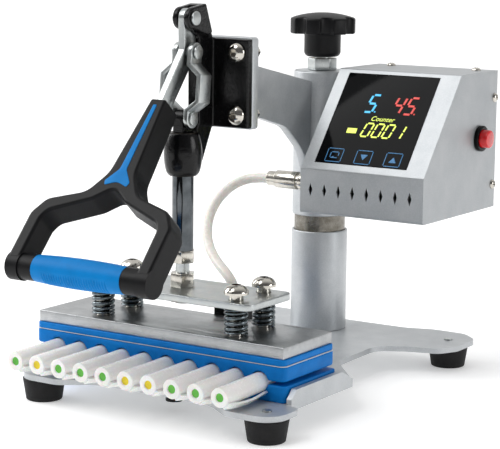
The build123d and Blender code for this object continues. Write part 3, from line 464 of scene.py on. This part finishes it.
def makePen(number, acrossMm, plug):
    radius, length = pens["radiusMm"] / 1000, pens["lengthMm"] / 1000
    front = place(acrossMm, pens["frontY"], mouldGap * 1000)
    bpy.ops.object.select_all(action="DESELECT")
    bpy.ops.mesh.primitive_cylinder_add(vertices=48, radius=radius, depth=length, rotation=(pi / 2, 0, 0),
                                        location=front + Vector((0, length / 2, 0)))
    pen = newest(f"penBarrel{number}")
    settle(pen)
    pen.data.materials.append(penFinishes["penBarrel"])
    pen.data.materials.append(penFinishes[plug])
    bpy.ops.object.mode_set(mode="EDIT")
    bpy.ops.mesh.select_all(action="DESELECT")
    bpy.ops.mesh.select_mode(type="FACE")
    bpy.ops.object.mode_set(mode="OBJECT")
    for face in pen.data.polygons:
        face.select = face.normal.y < -0.9
    bpy.ops.object.mode_set(mode="EDIT")
    bpy.ops.mesh.inset(thickness=radius - pens["dotMm"] / 1000)
    bpy.ops.mesh.extrude_region_move(TRANSFORM_OT_translate={"value": (0, pens["sinkMm"] / 1000, 0)})
    pen.active_material_index = 1
    bpy.ops.object.material_slot_assign()
    bpy.ops.object.mode_set(mode="OBJECT")
    bevel = pen.modifiers.new("edge", "BEVEL")
    bevel.width = pens["edgeMm"] / 1000
    bevel.segments = 4
    bevel.angle_limit = radians(50)
    applyAll(pen)
    # the pocket clip is a thin tongue that leaves the barrel near its front end
    clipLength, clipWide = pens["clipMm"] / 1000, pens["clipWideMm"] / 1000
    bpy.ops.object.select_all(action="DESELECT")
    bpy.ops.mesh.primitive_cube_add(size=1, location=front + Vector((0, clipLength / 2 + 0.001, 0)))
    clip = newest("clip")
    clip.scale = (clipWide, clipLength, pens["clipThickMm"] / 1000)
    settle(clip)
    bpy.ops.object.mode_set(mode="EDIT")
    bpy.ops.mesh.select_all(action="SELECT")
    bpy.ops.mesh.subdivide(number_cuts=10)
    bpy.ops.object.mode_set(mode="OBJECT")
    for corner in clip.data.vertices:
        share = (corner.co.y - front.y - 0.001) / clipLength
        bow = sin(pi * min(share * 1.1, 1.0))
        narrow = 1 - 0.35 * share - 0.5 * max(share - 0.9, 0) * 10 * max(share - 0.9, 0)
        corner.co.x = front.x + (corner.co.x - front.x) * narrow
        corner.co.z -= radius + 0.0002 + (pens["clipBowMm"] * bow + pens["clipDropMm"] * share) / 1000
    clip.data.materials.append(penFinishes["penBarrel"])
    clipBevel = clip.modifiers.new("edge", "BEVEL")
    clipBevel.width = 0.0004
    clipBevel.segments = 2
    clipBevel.angle_limit = radians(50)
    applyAll(clip)
    spin = Matrix.Rotation(radians(-pens["clipTurnDeg"]), 4, "Y")
    clip.data.transform(Matrix.Translation(front) @ spin @ Matrix.Translation(-front))
    pen = joinPieces([pen, clip], f"penBarrel{number}")
    hinge = Vector((front.x, place(0, pens["hingeY"], 0).y, front.z))
    lean = Matrix.Rotation(radians(pens["leanDeg"]), 4, "X")
    pen.data.transform(Matrix.Translation(hinge) @ lean @ Matrix.Translation(-hinge))
    smooth(pen, 40)
    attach(pen, "base")
    return pen


for number, letter in enumerate(pens["dots"]):
    across = (number - (len(pens["dots"]) - 1) / 2) * pens["pitchMm"]
    makePen(number + 1, across, "greenPlug" if letter == "G" else "yellowPlug")
print("pens laid:", len(pens["dots"]))

# the lit panel: segments, one word and three touch keys, in millimetres up and across the sloping face
panel = {"leftMm": 20.5, "frontY": -57.3, "foldZ": 126.9, "topY": -12.0, "topZ": 184.4, "glassLiftMm": 0.35,
         "inkMm": 0.12, "slant": 0.22}
tilt = atan2(panel["topZ"] - panel["foldZ"], panel["topY"] - panel["frontY"])
panelPlace = (Matrix.Translation(place(0, panel["frontY"], panel["foldZ"]))
              @ Matrix.Rotation(tilt, 4, "X"))


def lampFinish(name, code, strength):
    material = bpy.data.materials.new(name)
    material.use_nodes = True
    tree = material.node_tree
    shader = tree.nodes["Principled BSDF"]
    spot = addNode(tree, "TexCoord").outputs["Object"]
    glow = addNode(tree, "TexNoise", {"Scale": 900.0, "Detail": 2.0}, {"Vector": spot}).outputs["Fac"]
    ramp = addNode(tree, "ValToRGB", {}, {"Fac": glow})
    base = hexColor(code)
    ramp.color_ramp.elements[0].color = (base[0] * 0.8, base[1] * 0.8, base[2] * 0.8, 1)
    ramp.color_ramp.elements[1].color = base
    tree.links.new(ramp.outputs["Color"], shader.inputs["Base Color"])
    tree.links.new(ramp.outputs["Color"], shader.inputs["Emission Color"])
    shader.inputs["Emission Strength"].default_value = strength
    shader.inputs["Roughness"].default_value = 0.3
    return material


lamps = {
    "cyanSegments": lampFinish("cyanSegments", "#35B2E6", 0.7),
    "redSegments": lampFinish("redSegments", "#C8281A", 0.6),
    "limeSegments": lampFinish("limeSegments", "#DFF05A", 0.75),
    "keyOutlines": lampFinish("keyOutlines", "#2A74A8", 0.38),
}


def bar(u0, v0, u1, v1, wide):
    # a flat stroke on the panel, from one point to another in millimetres
    length = sqrt((u1 - u0) ** 2 + (v1 - v0) ** 2)
    bpy.ops.object.select_all(action="DESELECT")
    bpy.ops.mesh.primitive_cube_add(size=1, location=((u0 + u1) / 2, (v0 + v1) / 2, panel["glassLiftMm"]),
                                    rotation=(0, 0, atan2(v1 - v0, u1 - u0)))
    stroke = newest("stroke")
    stroke.scale = (length, wide, panel["inkMm"] * 2)
    settle(stroke)
    bpy.ops.object.mode_set(mode="EDIT")
    bpy.ops.mesh.select_all(action="SELECT")
    bpy.ops.mesh.bevel(offset=min(wide, length) * 0.28, segments=1, affect="EDGES", clamp_overlap=True)
    bpy.ops.object.mode_set(mode="OBJECT")
    return stroke


segmentLines = {"a": (0, 2, 1, 2), "b": (1, 1, 1, 2), "c": (1, 0, 1, 1), "d": (0, 0, 1, 0),
                "e": (0, 0, 0, 1), "f": (0, 1, 0, 2), "g": (0, 1, 1, 1)}
segmentsOf = {"0": "abcdef", "1": "bc", "4": "bcfg", "5": "acdfg"}


def digit(letter, u, v, wide, tall, stroke):
    strokes = []
    for name in segmentsOf[letter]:
        x0, y0, x1, y1 = segmentLines[name]
        gap = stroke * 0.42
        dx, dy = (gap, 0) if y0 == y1 else (0, gap)
        ends = []
        for x, y, sign in ((x0, y0, 1), (x1, y1, -1)):
            px, py = x * wide + sign * dx, y * tall / 2 + sign * dy
            ends += [u + px + panel["slant"] * py, v + py]
        strokes.append(bar(*ends, stroke))
    return strokes


def panelPiece(name, strokes, lamp):
    piece = joinPieces(strokes, name)
    settle(piece)
    piece.data.transform(panelPlace @ Matrix.Diagonal((0.001, 0.001, 0.001, 1)))
    return dress(piece, "head", "dark_panel", lamps[lamp])


panelPiece("timerDigit", digit("5", 48.6, 42.6, 5.4, 12.4, 1.5) + [bar(55.6, 43.0, 56.6, 43.0, 1.0)],
           "cyanSegments")
panelPiece("heatDigits", digit("4", 66.8, 42.8, 5.4, 11.8, 1.5) + digit("5", 75.2, 42.8, 5.4, 11.8, 1.5)
           + [bar(82.4, 43.2, 83.4, 43.2, 1.0)], "redSegments")
counterStrokes = []
for index, letter in enumerate("0001"):
    counterStrokes += digit(letter, 52.3 + index * 7.3, 25.3, 4.9, 9.4, 1.1)
panelPiece("countDigits", counterStrokes, "limeSegments")
panelPiece("modePill", [bar(42.2, 28.7, 48.9, 28.7, 3.6)], "limeSegments")
bpy.ops.object.select_all(action="DESELECT")
bpy.ops.object.text_add(location=(55.4, 36.6, panel["glassLiftMm"] + panel["inkMm"]))
label = newest("countLabel")
label.data.body = "Counter"
label.data.size = 4.6
label.data.shear = 0.25
label.data.extrude = 0.04
selectOnly(label)
bpy.ops.object.convert(target="MESH")
panelPiece("countLabel", [label], "limeSegments")
keyStrokes = []
for left in (35.0, 55.0, 75.0):
    right, low, high = left + 10.6, 6.2, 15.4
    for height in (low, high):
        keyStrokes.append(bar(left + 0.3, height, right - 0.3, height, 0.5))
    for edge in (left, right):
        keyStrokes.append(bar(edge, low + 0.3, edge, high - 0.3, 0.5))
# the first key's looped arrow
for stroke in ((38.0, 8.9, 42.6, 8.9), (37.6, 9.2, 37.6, 12.6), (38.0, 12.9, 42.6, 12.9),
               (43.0, 10.4, 43.0, 12.6), (40.2, 9.8, 38.6, 8.9)):
    keyStrokes.append(bar(*stroke, 0.6))
# the down and up keys are filled row by row
for row in range(7):
    half = 2.3 * (1 - row / 7)
    keyStrokes.append(bar(60.3 - half, 12.4 - row * 0.52, 60.3 + half, 12.4 - row * 0.52, 0.6))
    keyStrokes.append(bar(80.3 - half, 9.0 + row * 0.52, 80.3 + half, 9.0 + row * 0.52, 0.6))
panelPiece("touchKeys", keyStrokes, "keyOutlines")
print("display lit")

# floor, light and camera
bpy.ops.object.select_all(action="DESELECT")
bpy.ops.mesh.primitive_plane_add(size=30)
floor = newest("paleFloor")
floor.data.materials.append(makeFinish("palePaper", {"colors": ("#F4F4F4", "#F6F6F6"), "mottleMm": 400,
                                                     "grainMm": 3, "rough": (0.7, 0.8), "bump": 0.0,
                                                     "shader": {"Emission Color": (1, 1, 1, 1),
                                                                "Emission Strength": 0.3}}))
world = bpy.context.scene.world or bpy.data.worlds.new("studio")
bpy.context.scene.world = world
world.use_nodes = True
sky = world.node_tree
backdrop = sky.nodes["Background"]
# dim in front, bright behind and overhead, as in a light tent
tent = {"brightWay": (-0.50, 0.52, 0.69), "dimAt": 0.05, "brightAt": 0.7, "strength": 0.85}
direction = addNode(sky, "TexCoord").outputs["Generated"]
facing = addNode(sky, "VectorMath", {"operation": "DOT_PRODUCT", 1: tent["brightWay"]}, {0: direction})
skyRamp = addNode(sky, "ValToRGB", {}, {"Fac": facing.outputs["Value"]})
skyRamp.color_ramp.elements[0].position = tent["dimAt"]
skyRamp.color_ramp.elements[0].color = (0.16, 0.16, 0.165, 1)
skyRamp.color_ramp.elements[1].position = tent["brightAt"]
skyRamp.color_ramp.elements[1].color = (1, 1, 1, 1)
sky.links.new(skyRamp.outputs["Color"], backdrop.inputs["Color"])
backdrop.inputs["Strength"].default_value = tent["strength"]
bpy.ops.object.light_add(type="SUN", location=(-1, -1, 2))
sun = newest("tentSun")
sun.data.energy = 1.3
sun.data.angle = radians(40)
sun.rotation_euler = Vector((0.45, 0.6, -1.0)).to_track_quat("-Z", "Y").to_euler()
softBoxes = {
    "keyBox": {"spot": (-1.5, -0.2, 0.8), "size": 0.8, "power": 10.0},
    "fillBox": {"spot": (1.5, 0.3, 0.5), "size": 0.6, "power": 5.0},
}
aim = Vector((0, 0, 0.1))
for name, box in softBoxes.items():
    bpy.ops.object.light_add(type="AREA", location=box["spot"])
    light = newest(name)
    light.data.energy = box["power"]
    light.data.size = box["size"]
    light.rotation_euler = (aim - light.location).to_track_quat("-Z", "Y").to_euler()
view = {"around": 33.282, "above": 9.328, "roll": 0.580, "lensMm": 131.43,
        "spot": (595.467, -988.246, 271.454)}
around, above, roll = (radians(view[key]) for key in ("around", "above", "roll"))
back = Vector((sin(around) * cos(above), -cos(around) * cos(above), sin(above)))
right = Vector((cos(around), sin(around), 0))
up = back.cross(right)
across = right * cos(roll) + up * sin(roll)
upright = up * cos(roll) - right * sin(roll)
bpy.ops.object.camera_add(location=place(*view["spot"]))
camera = newest("studioCamera")
turned = Matrix((across, upright, back)).transposed().to_4x4()
camera.matrix_world = Matrix.Translation(place(*view["spot"])) @ turned
camera.data.lens = view["lensMm"]
camera.data.sensor_width = 36
bpy.context.scene.camera = camera
bpy.context.scene.view_settings.view_transform = "Standard"
print("stage set")
